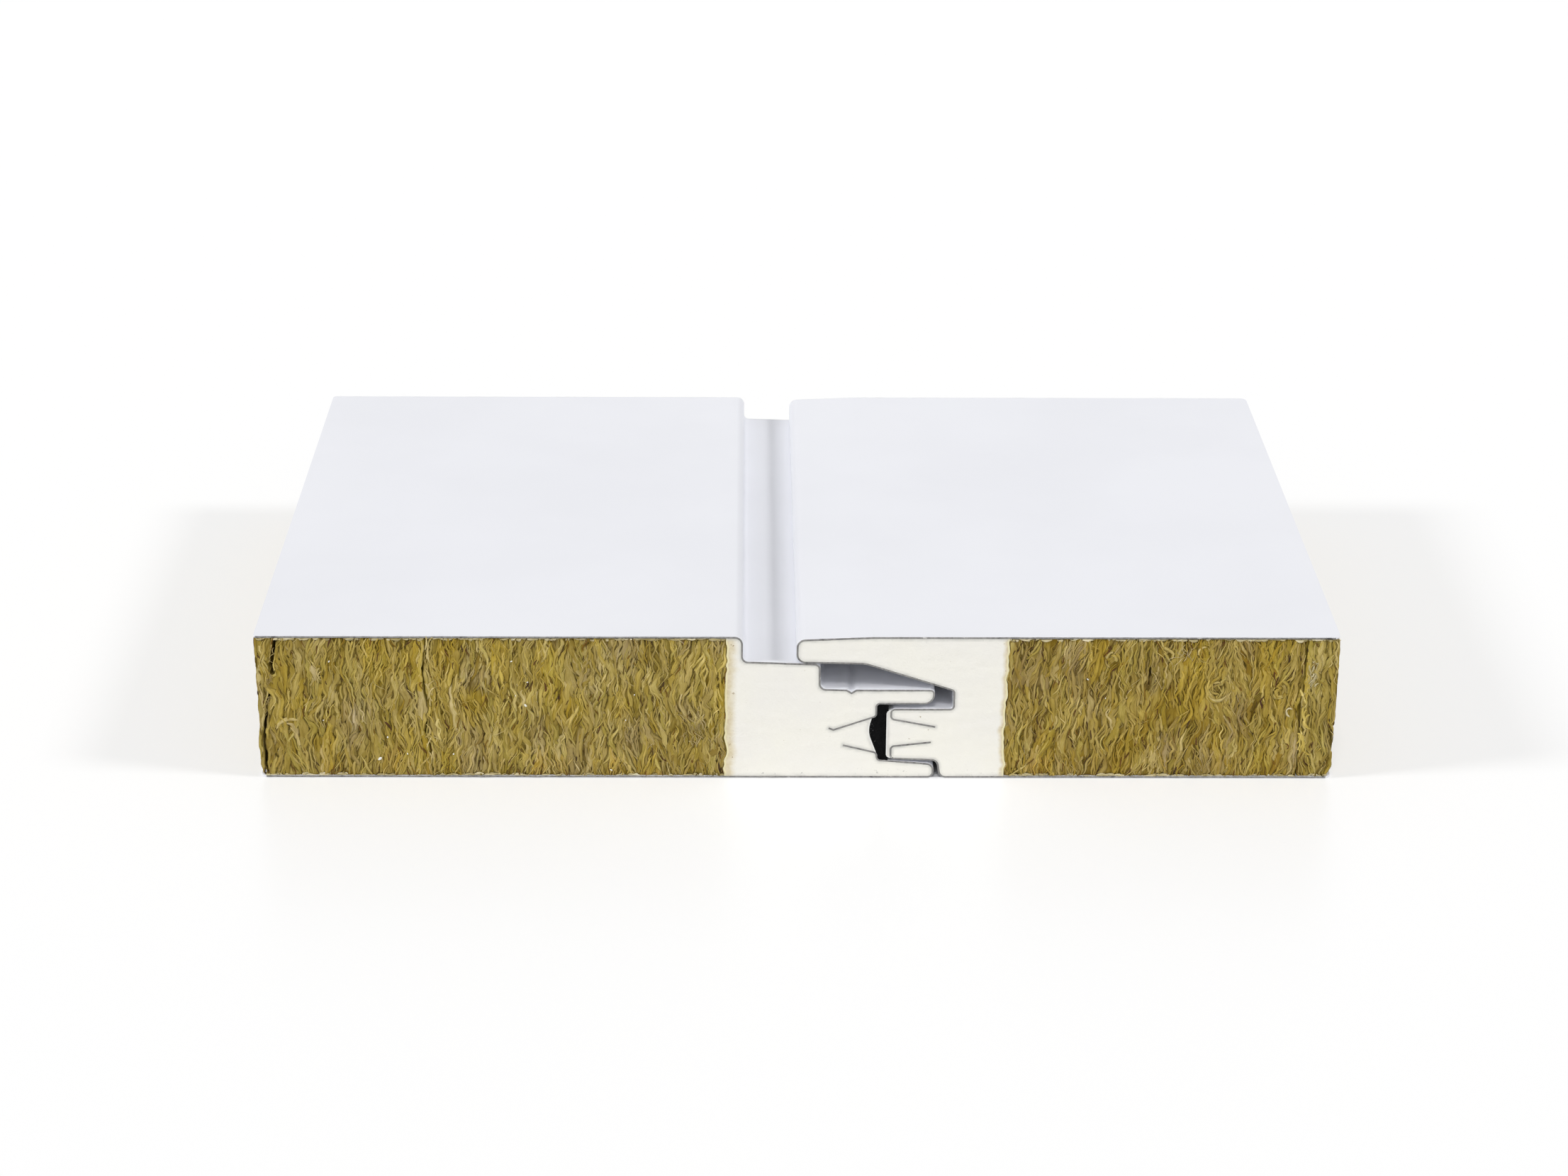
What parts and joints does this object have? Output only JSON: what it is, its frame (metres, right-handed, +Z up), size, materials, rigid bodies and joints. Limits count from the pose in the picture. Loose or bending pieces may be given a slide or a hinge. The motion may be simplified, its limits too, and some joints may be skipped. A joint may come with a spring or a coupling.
{
  "type": "insulated sandwich panel",
  "caption": "Cut sample of an insulated sandwich panel at its tongue-and-groove side joint: coated steel facings on a mineral wool core with rigid foam edges.",
  "frame": {"origin": "middle of the underside, on the inner facings", "axes": "+X across the joint from the tongue offcut to the groove offcut, +Y along the panel, +Z up to the outer facings"},
  "size_m": [0.348, 0.226, 0.05],
  "materials": {
    "coated_steel_outer": "smooth coil coating, satin",
    "coated_steel_inner": "smooth coil coating, satin",
    "mineral_wool": "sawn upright fibres",
    "rigid_foam": "sawn fine-celled foam",
    "edge_tape": "smooth matt film",
    "seal_foam": "soft cut foam rubber"
  },
  "bodies": {
    "root": {"left_outer_facing": "coated_steel_outer", "left_inner_facing": "coated_steel_inner", "left_core_lamella_1": "mineral_wool", "left_core_lamella_2": "mineral_wool", "left_foam_edge": "rigid_foam", "left_edge_tape": "edge_tape", "right_outer_facing": "coated_steel_outer", "right_inner_facing": "coated_steel_inner", "right_core_lamella_1": "mineral_wool", "right_core_lamella_2": "mineral_wool", "right_foam_edge": "rigid_foam", "right_edge_tape": "edge_tape", "joint_seal": "seal_foam"}
  },
  "joints": []
}
